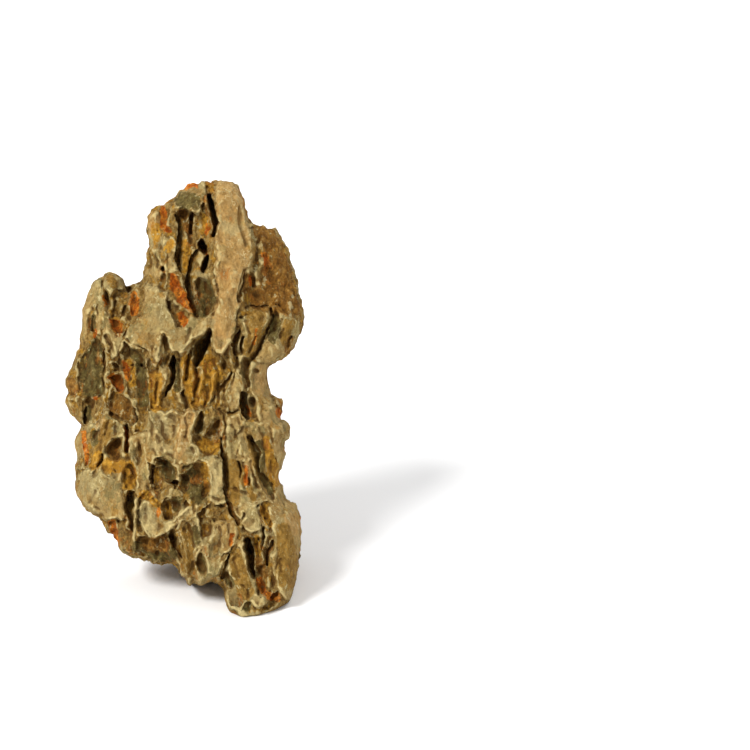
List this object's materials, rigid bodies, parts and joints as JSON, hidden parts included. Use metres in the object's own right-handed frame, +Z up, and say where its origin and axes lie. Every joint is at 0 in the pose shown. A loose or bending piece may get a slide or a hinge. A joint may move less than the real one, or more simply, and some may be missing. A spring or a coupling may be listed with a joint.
{
  "type": "dragon stone",
  "caption": "Upright piece of weathered clay rock for an aquarium or rockery, pitted all over with deep upright hollows between sharp ribs.",
  "frame": {"origin": "middle of the bounding box at the height of the flat resting face", "axes": "+Z up along the stone's height, -Y towards the viewer of its main pitted face, +X to that viewer's right"},
  "size_m": [0.1269, 0.124, 0.2063],
  "materials": {
    "clay_stone": "matte"
  },
  "bodies": {
    "root": {"dragon_stone": "clay_stone"}
  },
  "joints": []
}
